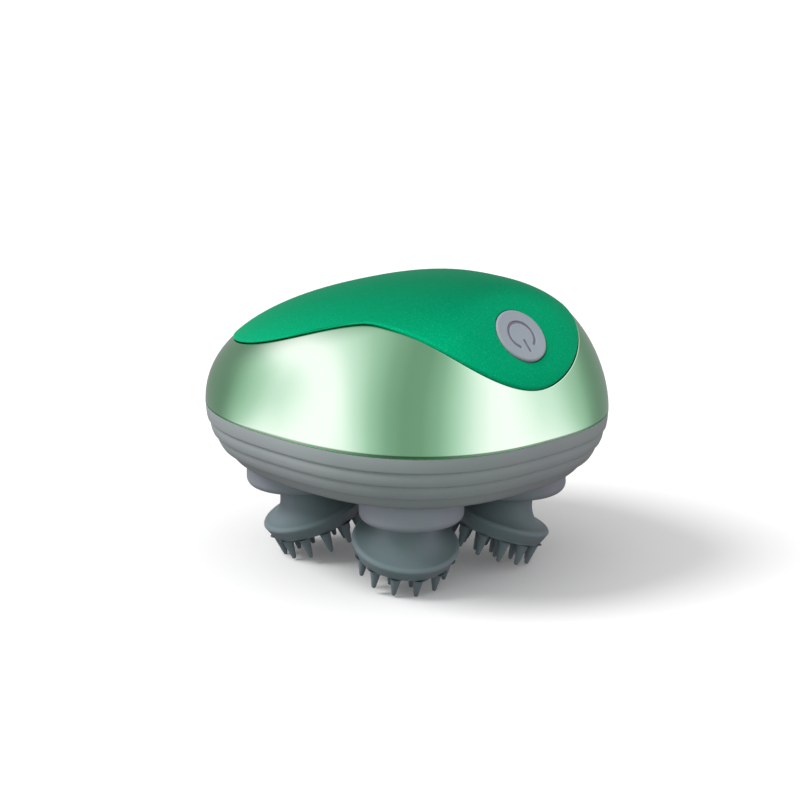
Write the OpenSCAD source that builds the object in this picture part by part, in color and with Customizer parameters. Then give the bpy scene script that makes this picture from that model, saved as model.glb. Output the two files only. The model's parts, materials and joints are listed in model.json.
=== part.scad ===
// Electric scalp massager: a leaning egg-shaped body on four turning massage heads.
// Millimetres, +Z up, +X towards the button end, origin on the surface it stands on,
// below the centre of the body's widest section.

/* [Body outline] */
// Length of the body at its widest section
body_l = 103.6; // [100:0.2:112]
// Width of the body at its widest section
body_w = 94.4; // [92:0.2:104]
// Squareness of the plan outline, where 2 is an ellipse
plan_power = 2.55; // [2.3:0.05:3]
// Height of the bowl from the underside to the widest section
bowl_h = 16; // [15:0.2:20]
// Size of the underside as a share of the widest section
bowl_foot = 0.85; // [0.83:0.01:0.9]
// Height of the dome above the widest section
dome_h = 36.4; // [35.4:0.2:44]
// How far the dome's top leans towards the button
dome_lean = 18.5; // [12:0.5:20]
// How late the lean sets in, where 1 is a straight lean
lean_power = 2.75; // [2:0.05:3.5]
// Drop of the seam below the widest section
seam_drop = 0.4; // [0.2:0.1:1]

/* [Bowl] */
// Wall of the bowl
bowl_wall = 2.2; // [1.8:0.1:2.6]
// Thickness of the bowl's floor
floor_t = 2.4; // [2:0.1:3]
// Number of stepped bands round the bowl
bands = 4; // [2:1:6]
// Depth of the step below each band
band_step = 0.7; // [0.3:0.1:0.8]
// Rounding of the underside's edge
foot_round = 1.2; // [0.6:0.1:1.6]

/* [Dome] */
// Wall of the dome
dome_wall = 2.6; // [2.4:0.1:3]
// Thickness of the top cover below the dome's surface
cover_t = 1.4; // [1.2:0.1:1.5]
// How far the top cover stands proud of the dome
cover_proud = 0.3; // [0.1:0.1:0.5]
// Gap round the edge of the top cover
cover_gap = 0.15; // [0.1:0.05:0.3]
// Half length of the cover's round lobe, which the button sits in
lobe_l = 30.2; // [28.5:0.1:30.5]
// Half width of the lobe
lobe_w = 27.5; // [26.5:0.1:28.4]
// Squareness of the lobe, where 2 is an ellipse
lobe_power = 1.9; // [1.8:0.05:2.1]
// How far the lobe's middle lies behind the button
lobe_back = 16; // [15:0.1:17]
// Height of the cover's edge at the tail above the widest section
tail_edge_h = 16.6; // [13:0.1:18]
// How late the cover's edge climbs from the tail
tail_power = 1.55; // [1:0.05:1.7]

/* [Heads] */
// Direction of the heads from the body's long axis
head_angle = 41; // [40:0.5:45]
// Turn of the heads round their spindles at rest, where 0 points each low edge outwards
head_phase = 17; // [0:1:90]
// Tilt of each head's axis
head_tilt = 18.4; // [14:0.2:20]
// Distance along the tilted axis from the head's flat face up to its pivot
head_run = 17; // [16:0.2:18]
// Radius of the head's sharp lower edge
head_edge_r = 12.7; // [12:0.1:13]
// Radius of the head at its shoulder
head_shoulder_r = 14; // [13.6:0.1:14.6]
// Height of the conical band between edge and shoulder
head_band_h = 3.2; // [2.4:0.1:4]
// Rounding of the shoulder
shoulder_round = 1.1; // [0.6:0.1:1.4]
// Radius of the neck
neck_r = 7; // [6.4:0.1:7.2]
// Length of a finger to the centre of its round tip
finger_l = 5.5; // [5:0.1:7]
// Radius of a finger at its root
finger_root_r = 1.6; // [1.1:0.1:1.7]
// Radius of a finger's round tip
finger_tip_r = 0.6; // [0.4:0.1:0.8]

/* [Collars] */
// Radius of a collar
collar_r = 13.5; // [13:0.1:14.2]
// How far a collar shows below the underside
collar_show = 7.2; // [6.8:0.1:8]
// Rounding of a collar's lower edge
collar_round = 2.2; // [1:0.1:2.6]
// Height of the pivot above a collar's lower rim
pivot_above_rim = 5.5; // [5:0.1:6]
// Depth of the round recess in the underside that a collar turns in
recess_d = 1; // [0.6:0.1:1.3]
// Gap round and above a turning collar
collar_gap = 0.5; // [0.4:0.1:0.6]
// Depth of the pocket that a head's neck sits in
pocket_d = 1.2; // [0.8:0.1:1.4]
// Radius of the peg that holds a head
peg_r = 3.4; // [3:0.1:3.6]
// Radius of the peg's barb
barb_r = 4.4; // [4.2:0.1:4.8]

/* [Gear train] */
// Module of the gears
gear_module = 0.8; // [0.8:0.01:0.82]
// Teeth of the drive gear
drive_teeth = 28; // [24:2:30]
// Teeth of a head gear
head_teeth = 45; // [42:1:46]
// Face width of the gears
gear_w = 4; // [3:0.2:5]
// Play between meshed teeth, measured along the pitch circle
backlash = 0.16; // [0.1:0.02:0.24]
// Radius of a spindle
spindle_r = 2.5; // [2.2:0.1:2.8]
// Radius of a spindle's upper journal and of the drive shaft
journal_r = 2; // [1.7:0.1:2.1]
// Running clearance between a shaft and its bearing
run_clear = 0.05; // [0.03:0.01:0.08]
// Outer radius of a spindle bushing
bushing_r = 4; // [3.6:0.1:4.2]
// Height of a spindle's bearing boss above the floor
boss_h = 5.4; // [5:0.1:7]

/* [Drive and power] */
// Thickness of the gear cover
plate_t = 2; // [1.6:0.1:2.6]
// Radius of the gearhead
gearhead_r = 12; // [11.5:0.1:12.4]
// Height of the gearhead
gearhead_h = 8.8; // [7:0.2:9]
// Radius of the motor
motor_r = 11; // [9:0.1:11.4]
// Height of the motor
motor_h = 16; // [12:0.5:16.5]
// Radius of the battery cell
battery_r = 9; // [8:0.1:9.2]
// Length of the battery cell
battery_l = 50; // [40:1:52]
// Length of the main board
board_l = 40; // [34:1:44]
// Width of the main board
board_w = 18; // [16:0.5:18.5]
// Thickness of the boards
board_t = 1.6; // [1:0.1:1.6]

/* [Button] */
// Distance from the body's centre to the point of the full dome that the button sits under
button_x = 43.2; // [42.6:0.1:43.8]
// Tilt of the button's axis from the vertical
button_tilt = 48; // [46:0.5:50]
// Depth of the flattened patch round the button, below the full dome
facet_cut = 2.2; // [1.6:0.1:2.6]
// Softness of the flattened patch's rim
facet_blend = 0.9; // [0.5:0.1:1.2]
// Radius of the button
button_r = 7.5; // [7.2:0.1:8]
// Gap round the button
button_gap = 0.15; // [0.1:0.05:0.25]
// How far the button can be pressed
button_travel = 0.6; // [0.4:0.1:0.8]
// How far the button's face stands out at rest
button_proud = 0.5; // [0.2:0.1:0.8]
// Depth of the power sign in the button's face
sign_d = 0.35; // [0.2:0.05:0.5]
// Radius of the power sign's ring, at the middle of its line
sign_r = 3.9; // [3.6:0.1:4.6]
// Width of the power sign's line
sign_w = 0.7; // [0.5:0.05:0.9]

/* [Screws and contacts] */
// Radius of the housing screws' shanks
screw_r = 1.25; // [1:0.05:1.5]
// Radius of the charging pad in the middle of the underside
pad_r = 8; // [7.6:0.1:9]
// How far the charging pad stands out of the underside
pad_h = 0.6; // [0.4:0.1:0.8]
// Radius of a charging contact
contact_r = 1.5; // [1.2:0.1:1.6]
// Distance between the middles of the two charging contacts
contact_pitch = 11.4; // [11:0.2:12]

/* [Hidden] */

$fn = 64;
plan_sides = 64;
dome_rings = 16;
last_ring = 88;
search_steps = 24;
bite = 1;

// Heights, stacked up from the finger tips on the surface
tip_ring_r = head_edge_r - finger_root_r;
disc_z = finger_tip_r + finger_l * cos(head_tilt) + tip_ring_r * sin(head_tilt);
pivot_z = disc_z + head_run * cos(head_tilt);
rim_z = pivot_z - pivot_above_rim;
seat_z = rim_z + pocket_d;
underside_z = rim_z + collar_show;
recess_z = underside_z + recess_d;
collar_top_z = recess_z - collar_gap;
widest_z = underside_z + bowl_h;
seam_z = widest_z - seam_drop;
floor_z = underside_z + floor_t;
boss_z = floor_z + boss_h;
flange_t = 0.8;
flange_show = 1.2;
end_play = 0.3;
gear_z = boss_z + flange_t + end_play;
gear_top_z = gear_z + gear_w;
clip_t = 0.8;
clip_show = 1.4;
clip_slot = 1.4;
clip_clear = 1.4;
groove_d = 0.4;
plate_z = gear_top_z + clip_t + clip_clear;
plate_top_z = plate_z + plate_t;

// Gears and heads
head_circle_r = gear_module * (drive_teeth + head_teeth) / 2;
head_turn = [head_angle, 180 - head_angle, 180 + head_angle, -head_angle];
heads = len(head_turn);
head_axis = [for (a = head_turn) head_circle_r * [cos(a), sin(a), 0]];
pressure_angle = 20;
flank_steps = 3;
tip_share = 0.95;
root_share = 1.25;
foot_lift = 0.05;
gear_windows = 6;
window_r = 3;
boss_wall = 1.8;
seal_h = 1.8;
bushing_low_z = recess_z + seal_h;
shaft_pocket_z = floor_z + 0.4;

// Fixings
post_r = 3.2;
post_out = 4.6;
post_root_z = floor_z + 3.2;
post_clear = 0.5;
post_top_z = plate_top_z + 5;
web_t = 2.4;
head_clear = 0.2;
shank_clear = 0.15;
screw_head_r = screw_r * 1.9;
screw_head_h = 1.8;
screw_head_z = floor_z - 0.2;
screw_l = 10;
thread_end = 1.5;
pilot_end = 0.5;
slot_w = 0.5;
slot_share = 0.6;
housing_screw_at = [
    [body_l / 2 * bowl_foot - foot_round - post_out, 0],
    [-body_l / 2 * bowl_foot + foot_round + post_out, 0],
    [0, body_w / 2 * bowl_foot - foot_round - post_out],
    [0, -body_w / 2 * bowl_foot + foot_round + post_out]
];
pillar_r = 2.6;
pillar_gap = 0.9;
pillar_in = post_r + pillar_r + pillar_gap;
pillar_at = [for (p = housing_screw_at) p * (norm(p) - pillar_in) / norm(p)];
small_screw_r = 0.9;
small_screw_l = 6;
small_head_r = 1.9;
small_head_h = 1.2;
plate_inset = 2;

// Lap joint between bowl and dome
lap_h = 2.2;
lap_wall = 1.2;
lap_gap = 0.15;
tongue_t = 1;
tongue_in = lap_wall + lap_gap;
tongue_root = 1.2;
seal_t = 0.5;

// Button, along its own axis with 0 at the flattened patch
button_axis = [sin(button_tilt), 0, cos(button_tilt)];
button_down = [cos(button_tilt), 0, -sin(button_tilt)];
button_at = [button_x, 0, ridge_z(button_x)] - facet_cut * button_axis;
cap_l = 2;
flange_out = 1.2;
flange_r = button_r + flange_out;
flange_h = 1.1;
guide_clear = 0.2;
guide_r = flange_r + guide_clear;
guide_wall = 1.4;
stem_l = 1.5;
stem_r = 1.8;
plunger_r = 1.7;
plunger_l = 2.2;
switch_w = 6;
switch_h = 3.5;
ledge_gap = 0.1;
ledge = -cap_l + ledge_gap;
flange_low = -cap_l - flange_h;
stem_low = flange_low - stem_l;
switch_top = stem_low - button_travel;
guide_low = switch_top - switch_h;
spring_wall = 1.2;
spring_rest = 0.3;
cap_edge = 0.4;
bar_from = sign_r * 0.3;
bar_l = sign_r * 0.9;
bore_l = 20;

// Parts on the gear cover
bearing_clear = 0.1;
cradle_wall = 0.4;
cradle_h = 6;
cradle_floor = 1.2;
cradle_short = 3;
notch_r = small_head_r + head_clear;
battery_x = -(gearhead_r + 3 + cradle_wall + bearing_clear + battery_r);
battery_z = plate_top_z + cradle_floor + bearing_clear + battery_r;
standoff_h = 2.2;
standoff_r = 1.6;
standoff_in = 2.5;
terminal_l = 1.5;
board_x = gearhead_r + 2.6 + board_w / 2;
board_z = plate_top_z + standoff_h;

// ---- Plan outline and lofts ----

// Point of a superellipse with half sizes a and b at angle u
function oval_point(a, b, power, u) = [
    a * sign(cos(u)) * pow(abs(cos(u)), 2 / power),
    b * sign(sin(u)) * pow(abs(sin(u)), 2 / power)
];
function plan_point(a, b, u) = oval_point(a, b, plan_power, u);

// Size of the bowl's section at height z, as a share of the widest one
function bowl_share(z) = sqrt(1 - (1 - bowl_foot * bowl_foot) * pow((widest_z - z) / bowl_h, 2));

// Centre shift of the dome's section at share t of its height
function lean_at(t) = dome_lean * pow(max(0, t), lean_power);

// One ring of points: size share, extra inset, centre shift and height
function ring(share, inset, shift, z) = [
    for (k = [0 : plan_sides - 1])
        let (a = body_l / 2 * share - inset, b = body_w / 2 * share - inset)
        let (p = plan_point(a, b, 360 * k / plan_sides))
            [p[0] + shift, p[1], z]
];

// Closed solid through a list of rings, from the lowest to the highest
module loft(rings) {
    n = plan_sides;
    last = len(rings) - 1;
    points = [for (r = rings) each r];
    sides = [
        for (j = [0 : last - 1], k = [0 : n - 1])
            [j * n + k, (j + 1) * n + k, (j + 1) * n + (k + 1) % n, j * n + (k + 1) % n]
    ];
    bottom = [for (k = [0 : n - 1]) k];
    top = [for (k = [n - 1 : -1 : 0]) last * n + k];
    polyhedron(points, concat([bottom], sides, [top]));
}

// Point pressed back to the flattened patch round the button, with a soft rim
function pressed(p, grow) =
    let (d = (p - button_at) * button_axis - grow)
        p - facet_blend * ln(1 + exp(min(d / facet_blend, 30))) * button_axis;

// The dome grown outwards, or shrunk inwards where grow is negative, down to height low
module dome(grow, low) {
    loft(concat(
        [ring(bowl_share(low), -grow, 0, low)],
        [for (j = [0 : dome_rings])
            let (a = last_ring * j / dome_rings, t = sin(a), c = cos(a))
            let (flat = ring(c, -grow * c, lean_at(t), widest_z + (dome_h + grow) * t))
                [for (p = flat) pressed(p, grow)]]
    ));
}

// Height of the full dome's ridge at distance x from the centre
function ridge_x(t) = lean_at(t) + body_l / 2 * sqrt(1 - t * t);
function ridge_share(x, low, high, n) =
    n == 0 ? low
    : let (m = (low + high) / 2)
        ridge_x(m) > x ? ridge_share(x, m, high, n - 1) : ridge_share(x, low, m, n - 1);
function ridge_z(x) = widest_z + dome_h * ridge_share(x, 0, 1, search_steps);

// Above zero where a point lies outside the full dome
function outside(p) =
    let (t = (p[2] - widest_z) / dome_h)
        t >= 1 ? 1
        : let (c = sqrt(1 - t * t))
            let (x = abs(p[0] - lean_at(t)) / (body_l / 2 * c), y = abs(p[1]) / (body_w / 2 * c))
                pow(x, plan_power) + pow(y, plan_power) - 1;

// Distance along a line from inside the dome to its surface
function way_out(p, along, low, high, n) =
    n == 0 ? low
    : let (m = (low + high) / 2)
        outside(p + m * along) > 0
            ? way_out(p, along, low, m, n - 1)
            : way_out(p, along, m, high, n - 1);

// Flat slab of the plan outline with straight sides
module slab(inset, z, h) {
    translate([0, 0, z])
        linear_extrude(h)
            polygon([for (k = [0 : plan_sides - 1])
                plan_point(body_l / 2 - inset, body_w / 2 - inset, 360 * k / plan_sides)]);
}

// ---- Placing ----

module at_head(i) {
    translate(head_axis[i - 1]) rotate([0, 0, head_turn[i - 1]]) children();
}

// As at_head, turned to where the head rests
module at_resting_head(i) {
    at_head(i) rotate([0, 0, head_phase]) children();
}

module at_heads() {
    for (i = [1 : heads]) at_head(i) children();
}

// Frame of a tilted head axis, with 0 at the pivot and the face below it
module on_tilted_axis() {
    translate([0, 0, pivot_z]) rotate([0, head_tilt, 0]) children();
}

module on_button_axis() {
    translate(button_at) rotate([0, button_tilt, 0]) children();
}

module disc(r, z, h) {
    translate([0, 0, z]) cylinder(h = h, r = r);
}

// ---- Body ----

// Insets of the bowl's rings, from the underside up to the seam
band_h = (seam_z - underside_z) / bands;
step_h = 0.35;
foot_rings = [for (a = [0 : 30 : 90])
    let (z = underside_z + foot_round * (1 - cos(a)))
        ring(bowl_share(z), band_step + foot_round * (1 - sin(a)), 0, z)];
band_rings = [for (j = [1 : bands - 1]) each
    let (z = underside_z + j * band_h)
        [ring(bowl_share(z - step_h), band_step, 0, z - step_h), ring(bowl_share(z), 0, 0, z),
         ring(bowl_share(z + band_h / 2), band_step * 0.2, 0, z + band_h / 2)]];

module bowl_outside() {
    loft(concat(foot_rings, band_rings, [ring(bowl_share(seam_z), 0, 0, seam_z)]));
}

module bowl_inside() {
    loft([for (z = [floor_z, (floor_z * 2 + seam_z) / 3, (floor_z + seam_z * 2) / 3, seam_z + bite])
        ring(bowl_share(min(z, seam_z)), bowl_wall + band_step, 0, z)]);
}

module base_housing() {
    color([0.50, 0.55, 0.54])
        difference() {
            union() {
                difference() {
                    bowl_outside();
                    bowl_inside();
                    slab(lap_wall, seam_z - lap_h - seal_t, lap_h + seal_t + bite);
                }
                at_heads() disc(bushing_r + boss_wall, recess_z, boss_z - recess_z);
                disc(journal_r + boss_wall, floor_z - bite, boss_z - floor_z + bite);
                disc(pad_r, underside_z - pad_h, pad_h + bite);
                for (p = housing_screw_at)
                    translate(p) disc(post_r, floor_z - bite, post_root_z - floor_z + bite);
                for (p = pillar_at)
                    translate(p) disc(pillar_r, floor_z - bite, plate_z - floor_z + bite);
            }
            at_heads() {
                disc(collar_r + collar_gap, underside_z - bite, recess_d + bite);
                disc(bushing_r, recess_z - bite, boss_z - recess_z + 2 * bite);
            }
            disc(journal_r + run_clear, shaft_pocket_z, boss_z - floor_z);
            for (p = housing_screw_at)
                translate(p) {
                    disc(screw_head_r + head_clear, underside_z - bite, screw_head_z - underside_z + bite);
                    disc(screw_r + shank_clear, underside_z, post_root_z - underside_z + bite);
                }
            for (p = pillar_at)
                translate(p)
                    disc(small_screw_r, plate_top_z - small_screw_l - pilot_end, small_screw_l + bite);
            for (s = [-1, 1])
                translate([0, s * contact_pitch / 2])
                    disc(contact_r, underside_z - pad_h - bite, floor_t + pad_h + 2 * bite);
        }
}

// The cover's edge climbs as a wave from the tail to its crest, then runs round the lobe
lobe_side = button_at - lobe_back * button_down + [0, lobe_w, 0];
crest = lobe_side + way_out(lobe_side, button_axis, -dome_h, 0, search_steps) * button_axis;
tail_x = -body_l / 2;
tail_z = widest_z + tail_edge_h;
edge_steps = 24;
lobe_deep = 20;
lobe_h = 34;
lobe_sides = 72;

module inside_edge(gap) {
    climb = [for (j = [0 : edge_steps])
        let (u = j / edge_steps, rise = (1 - cos(180 * pow(u, tail_power))) / 2)
            [tail_x + (crest[0] - tail_x) * u, tail_z - gap + (crest[2] - tail_z) * rise]];
    far = body_l;
    rotate([90, 0, 0])
        translate([0, 0, -far])
            linear_extrude(2 * far)
                polygon(concat([[-far, 2 * far], [-far, tail_z - gap]], climb, [[crest[0], 2 * far]]));
    on_button_axis()
        translate([-lobe_back, 0, -lobe_deep])
            linear_extrude(lobe_h)
                polygon([for (k = [0 : lobe_sides - 1])
                    oval_point(lobe_l + gap, lobe_w + gap, lobe_power, 360 * k / lobe_sides)]);
}

module guide_bore() {
    on_button_axis() {
        disc(button_r + button_gap, ledge - bite, bore_l);
        disc(guide_r, guide_low - bite, ledge - guide_low + bite);
    }
}

module top_shell() {
    color([0.62, 0.82, 0.64])
        difference() {
            union() {
                difference() {
                    dome(0, seam_z);
                    dome(-dome_wall, seam_z - bite);
                }
                difference() {
                    slab(tongue_in, seam_z - lap_h, lap_h + tongue_root);
                    slab(tongue_in + tongue_t, seam_z - lap_h - bite, lap_h + tongue_root + 2 * bite);
                }
                intersection() {
                    dome(-dome_wall / 2, post_root_z + lap_gap);
                    union() {
                        on_button_axis() disc(guide_r + guide_wall, guide_low, bore_l);
                        for (p = housing_screw_at)
                            translate(p) disc(post_r, post_root_z + lap_gap, post_top_z - post_root_z);
                        for (p = housing_screw_at)
                            rotate([0, 0, atan2(p[1], p[0])])
                                translate([norm(p), -web_t / 2, plate_top_z + post_clear])
                                    cube([body_l, web_t, post_top_z - plate_top_z - post_clear]);
                    }
                }
            }
            difference() {
                inside_edge(cover_gap);
                dome(-cover_t - lap_gap, seam_z - bite);
            }
            guide_bore();
            for (p = housing_screw_at)
                translate(p) disc(screw_r, post_root_z, screw_head_z + screw_l + thread_end - post_root_z);
        }
}

module top_cover() {
    color([0.03, 0.52, 0.33])
        difference() {
            intersection() {
                dome(cover_proud, seam_z);
                inside_edge(0);
            }
            dome(-cover_t, seam_z - bite);
            guide_bore();
        }
}

module seam_seal() {
    color([0.18, 0.18, 0.18])
        difference() {
            slab(tongue_in, seam_z - lap_h - seal_t, seal_t);
            slab(tongue_in + tongue_t, seam_z - lap_h - seal_t - bite, seal_t + 2 * bite);
        }
}

// ---- Button and switch ----

module power_sign() {
    low = button_proud - sign_d;
    difference() {
        disc(sign_r + sign_w / 2, low, sign_d + bite);
        disc(sign_r - sign_w / 2, low - bite, sign_d + 3 * bite);
        translate([0, -sign_r / 2, low - bite]) cube([2 * sign_r, sign_r, sign_d + 3 * bite]);
    }
    translate([bar_from, -sign_w / 2, low]) cube([bar_l, sign_w, sign_d + bite]);
}

module power_button() {
    color([0.60, 0.62, 0.66])
        on_button_axis()
            difference() {
                union() {
                    disc(button_r, flange_low, button_proud - cap_edge - flange_low);
                    translate([0, 0, button_proud - cap_edge])
                        cylinder(h = cap_edge, r1 = button_r, r2 = button_r - cap_edge);
                    disc(flange_r, flange_low, flange_h);
                    disc(stem_r, stem_low, stem_l);
                }
                power_sign();
            }
}

module button_spring() {
    color([0.85, 0.85, 0.82])
        on_button_axis()
            difference() {
                disc(flange_r, guide_low, flange_low - button_travel - spring_rest - guide_low);
                disc(flange_r - spring_wall, guide_low - bite, bore_l);
            }
}

module switch_plunger() {
    color([0.15, 0.15, 0.15]) on_button_axis() disc(plunger_r, stem_low - plunger_l, plunger_l);
}

module tact_switch() {
    color([0.2, 0.2, 0.22])
        on_button_axis()
            difference() {
                translate([-switch_w / 2, -switch_w / 2, guide_low])
                    cube([switch_w, switch_w, switch_h]);
                disc(plunger_r + bearing_clear, switch_top - plunger_l, bore_l);
            }
}

module switch_board() {
    color([0.10, 0.35, 0.20]) on_button_axis() disc(guide_r + guide_wall, guide_low - board_t, board_t);
}

// ---- Turning heads ----

// Half section of a collar, with its rounded lower edge
collar_section = concat(
    [[0, collar_top_z], [0, rim_z]],
    [for (a = [0 : 15 : 90])
        [collar_r - collar_round * (1 - sin(a)), rim_z + collar_round * (1 - cos(a))]],
    [[collar_r, collar_top_z]]
);

// Pocket, peg and spindle socket of a collar
neck_clear = 0.3;
neck_pocket_r = (pivot_z - rim_z) * tan(head_tilt) + neck_r / cos(head_tilt) + neck_clear;
peg_sink = 0.6;
peg_high = (pivot_z - seat_z) / cos(head_tilt) - peg_r * tan(head_tilt) - peg_sink;
peg_end = 4;
peg_low = head_run - peg_end;
peg_clear = 0.05;
barb_up = 0.6;
barb_h = 1.6;
socket_floor = 1.2;
spindle_low_z = seat_z + socket_floor;

module collar(i) {
    color([0.56, 0.58, 0.63])
        at_resting_head(i)
            difference() {
                union() {
                    difference() {
                        rotate_extrude($fn = 96)
                            polygon(collar_section);
                        disc(neck_pocket_r, rim_z - bite, pocket_d + bite);
                    }
                    on_tilted_axis() {
                        disc(peg_r, -peg_low, peg_low - peg_high);
                        disc(barb_r, -peg_low + barb_up, barb_h);
                    }
                }
                disc(spindle_r, spindle_low_z, collar_top_z - spindle_low_z + bite);
            }
}

// Half section of a head round its tilted axis
shoulder_z = -head_run + head_band_h;
trumpet_r = head_shoulder_r - shoulder_round;
neck_straight = 0.8;
trumpet_h = -shoulder_z - shoulder_round - (pivot_above_rim - pocket_d) - neck_straight;
head_section = concat(
    [[0, -head_run], [head_edge_r, -head_run]],
    [for (a = [0 : 22.5 : 90])
        [trumpet_r + shoulder_round * cos(a), shoulder_z + shoulder_round * sin(a)]],
    [for (a = [9 : 9 : 90])
        let (z = shoulder_z + shoulder_round + trumpet_h * (1 - cos(a)))
            [trumpet_r - (trumpet_r - neck_r) * sin(a), z]],
    [[neck_r, 0], [0, 0]]
);
finger_rings = [[0, 12], [1, 8], [2, 4]];
finger_row = (tip_ring_r - finger_root_r) / 2.5;
finger_sink = 0.4;

module fingers() {
    for (row = finger_rings, k = [0 : row[1] - 1])
        rotate([0, 0, 360 * k / row[1]])
            translate([tip_ring_r - row[0] * finger_row, 0, -head_run]) {
                translate([0, 0, finger_sink])
                    rotate([180, 0, 0])
                        cylinder(h = finger_l + finger_sink, r1 = finger_root_r, r2 = finger_tip_r);
                translate([0, 0, -finger_l]) sphere(r = finger_tip_r);
            }
}

module massage_head(i) {
    color([0.38, 0.43, 0.45])
        at_resting_head(i)
            intersection() {
                on_tilted_axis()
                    difference() {
                        union() {
                            rotate_extrude($fn = 96) polygon(head_section);
                            fingers();
                        }
                        disc(peg_r + peg_clear, -peg_low - peg_clear, peg_low + bite);
                        disc(barb_r + peg_clear, -peg_low + barb_up - peg_clear, barb_h + 2 * peg_clear);
                    }
                disc(3 * collar_r, -bite, seat_z + bite);
            }
}

module spindle(i) {
    color([0.75, 0.76, 0.78])
        at_head(i) {
            disc(spindle_r, spindle_low_z, gear_top_z - spindle_low_z);
            disc(journal_r - groove_d, gear_top_z, clip_t);
            disc(journal_r, gear_top_z + clip_t, plate_top_z - end_play - gear_top_z - clip_t);
        }
}

module retaining_clip(i) {
    color([0.35, 0.35, 0.38])
        at_head(i)
            difference() {
                disc(spindle_r + clip_show, gear_top_z, clip_t);
                disc(journal_r - groove_d, gear_top_z - bite, clip_t + 2 * bite);
                translate([0, -clip_slot / 2, gear_top_z - bite])
                    cube([2 * spindle_r + clip_show, clip_slot, clip_t + 2 * bite]);
            }
}

// Angle between a flank's points on the base circle and at radius r
function involute_turn(base, r) = r <= base ? 0 : sqrt(pow(r / base, 2) - 1) * 180 / PI - acos(base / r);

// Outline of a spur gear with one tooth centred on +X
function gear_outline(teeth) =
    let (
        pitch = gear_module * teeth / 2,
        base = pitch * cos(pressure_angle),
        tip = pitch + gear_module * tip_share,
        root = pitch - gear_module * root_share,
        foot = max(base, root + foot_lift),
        half = 90 / teeth - backlash / 4 / pitch * 180 / PI + involute_turn(base, pitch),
        radii = [for (j = [0 : flank_steps]) foot + (tip - foot) * j / flank_steps],
        flank = concat(
            [[root, half - involute_turn(base, foot)]],
            [for (r = radii) [r, half - involute_turn(base, r)]]
        ),
        back = [for (j = [len(flank) - 1 : -1 : 0]) [flank[j][0], -flank[j][1]]]
    )
        [for (k = [0 : teeth - 1], p = concat(flank, back))
            let (a = 360 * k / teeth - p[1])
                p[0] * [cos(a), sin(a)]];

// Turn of head gear i that puts it in mesh with the drive gear
function mesh_turn(i) = (180 + drive_teeth * head_turn[i - 1]) / head_teeth + 180;

module head_gear(i) {
    color([0.90, 0.88, 0.80])
        at_head(i)
            difference() {
                rotate([0, 0, mesh_turn(i)])
                    translate([0, 0, gear_z])
                        linear_extrude(gear_w)
                            polygon(gear_outline(head_teeth));
                disc(spindle_r, gear_z - bite, gear_w + 2 * bite);
                for (k = [1 : gear_windows])
                    rotate([0, 0, 360 * k / gear_windows])
                        translate([(spindle_r + gear_module * head_teeth / 2) / 2, 0])
                            disc(window_r, gear_z - bite, gear_w + 2 * bite);
            }
}

module bushing(i) {
    color([0.72, 0.55, 0.30])
        at_head(i)
            difference() {
                union() {
                    disc(bushing_r, bushing_low_z, boss_z - bushing_low_z);
                    disc(bushing_r + flange_show, boss_z, flange_t);
                }
                disc(spindle_r + run_clear, bushing_low_z - bite, gear_z - bushing_low_z + bite);
            }
}

module spindle_seal(i) {
    color([0.12, 0.12, 0.12])
        at_head(i)
            difference() {
                disc(bushing_r, recess_z, seal_h);
                disc(spindle_r + run_clear, recess_z - bite, seal_h + 2 * bite);
            }
}

// ---- Drive ----

module drive_gear() {
    color([0.90, 0.88, 0.80])
        difference() {
            translate([0, 0, gear_z]) linear_extrude(gear_w) polygon(gear_outline(drive_teeth));
            disc(journal_r, gear_z - bite, gear_w + 2 * bite);
        }
}

shaft_low_z = shaft_pocket_z + end_play;
gearhead_cap = 2;
shaft_top_z = plate_top_z + gearhead_h - gearhead_cap;

module drive_shaft() {
    color([0.75, 0.76, 0.78]) disc(journal_r, shaft_low_z, shaft_top_z - shaft_low_z);
}

module gear_cover() {
    color([0.80, 0.80, 0.78])
        difference() {
            union() {
                slab(lap_wall + tongue_t + plate_inset, plate_z, plate_t);
                for (x = [-1, 1], y = [-1, 1])
                    translate([board_x + x * (board_w / 2 - standoff_in), y * (board_l / 2 - standoff_in)])
                        disc(standoff_r, plate_top_z - bite, standoff_h + bite);
            }
            at_heads() disc(journal_r + run_clear, plate_z - bite, plate_t + 2 * bite);
            disc(journal_r + post_clear, plate_z - bite, plate_t + 2 * bite);
            for (p = housing_screw_at)
                translate(p) disc(post_r + post_clear, plate_z - bite, plate_t + 2 * bite);
            for (p = pillar_at)
                translate(p) disc(small_screw_r + shank_clear, plate_z - bite, plate_t + 2 * bite);
        }
}

module gearhead() {
    color([0.55, 0.56, 0.58])
        difference() {
            disc(gearhead_r, plate_top_z, gearhead_h);
            disc(journal_r + run_clear, plate_top_z - bite, shaft_top_z + end_play - plate_top_z + bite);
        }
}

// End bearing cap and terminal tabs of the motor
end_cap_h = 1.2;
tab_t = 0.5;
tab_w = 2;
tab_h = 1.6;

module motor() {
    color([0.70, 0.71, 0.72])
        translate([0, 0, plate_top_z + gearhead_h]) {
            disc(motor_r, 0, motor_h);
            disc(motor_r * 0.3, motor_h, end_cap_h);
            for (s = [-1, 1])
                translate([s * motor_r * 0.6 - tab_t / 2, -tab_w / 2, motor_h])
                    cube([tab_t, tab_w, tab_h]);
        }
}

// ---- Power and control ----

module battery() {
    color([0.25, 0.45, 0.70])
        translate([battery_x, 0, battery_z])
            rotate([90, 0, 0]) {
                translate([0, 0, -battery_l / 2]) cylinder(h = battery_l - terminal_l, r = battery_r);
                translate([0, 0, battery_l / 2 - terminal_l]) cylinder(h = terminal_l, r = battery_r * 0.35);
            }
}

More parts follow.
